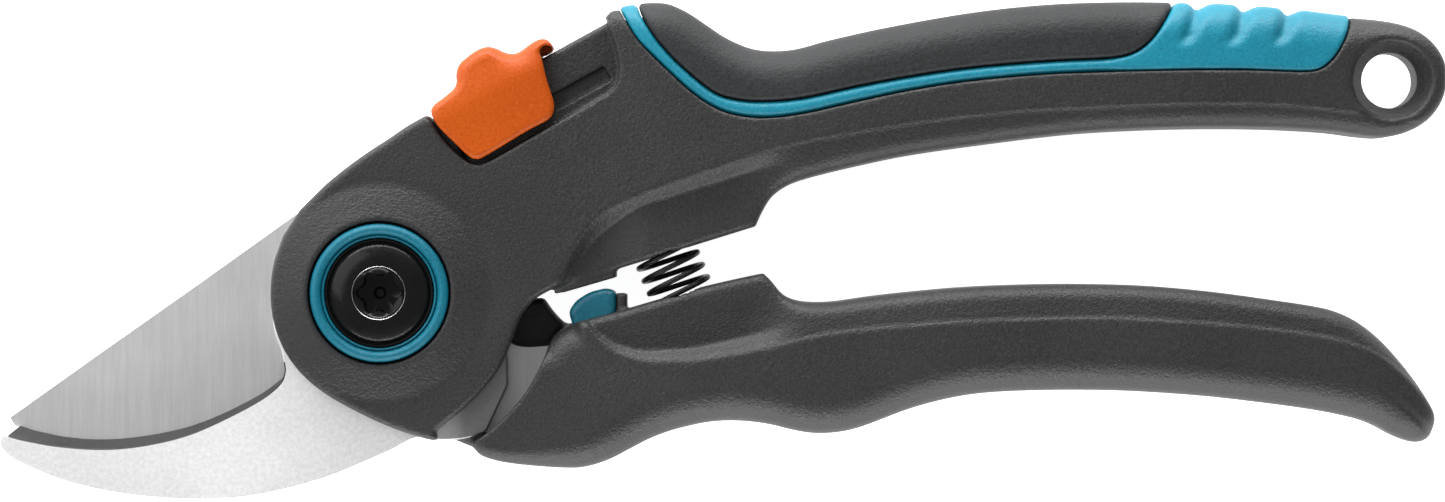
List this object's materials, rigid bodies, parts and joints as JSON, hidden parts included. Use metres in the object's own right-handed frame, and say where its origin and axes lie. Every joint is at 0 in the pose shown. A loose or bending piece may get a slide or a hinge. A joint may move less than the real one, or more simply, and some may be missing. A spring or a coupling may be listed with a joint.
{
  "type": "bypass pruner",
  "caption": "Bypass hand pruner with moulded handles, curved hook and sliding thumb lock, lying flat and closed.",
  "frame": {"origin": "on the pivot axis, at the flat back face of the pivot nut, in the plane the tool lies on", "axes": "+X from the pivot towards the handles' ends, +Y from the lower handle to the upper one, +Z out of the front face of the tool"},
  "size_m": [0.2251, 0.0776, 0.021],
  "materials": {
    "hard_plastic": "fine spark-eroded grain, charcoal grey",
    "soft_pad": "soft-touch dark grey",
    "accent_soft": "soft-touch teal",
    "buffer_rubber": "teal rubber",
    "hook_steel": "pale satin",
    "blade_steel": "fine ground, grain across the blade",
    "black_bolt": "gloss black oxide",
    "plain_steel": "plain bright steel",
    "spring_steel": "black phosphate",
    "lock_plastic": "satin orange"
  },
  "bodies": {
    "upper_handle": {"upper_handle_body": "hard_plastic", "counter_blade": "hook_steel", "grip_inlay": "accent_soft", "grip_pad": "soft_pad", "pivot_bolt": "black_bolt", "pivot_cup_washer": "black_bolt", "front_accent_ring": "accent_soft", "pivot_bush": "plain_steel", "spring_washer": "plain_steel", "pivot_nut": "black_bolt", "lock_detent_spring": "plain_steel"},
    "lower_handle": {"lower_handle_body": "hard_plastic", "cutting_blade": "blade_steel", "rear_accent_ring": "accent_soft", "stop_buffer": "buffer_rubber", "return_spring": "spring_steel"},
    "lock": {"lock_slider": "lock_plastic", "lock_catch": "plain_steel"}
  },
  "joints": [
    {"name": "handle_pivot", "type": "hinge", "parent": "upper_handle", "child": "lower_handle", "pos_m": [0, 0, 0.0105], "axis": [0, 0, -1], "range_deg": [-1.5, 27], "deforming": ["return_spring"]},
    {"name": "lock_slide", "type": "slide", "parent": "upper_handle", "child": "lock", "axis": [0.8763, 0.4818, 0], "range_m": [0, 0.008]}
  ]
}
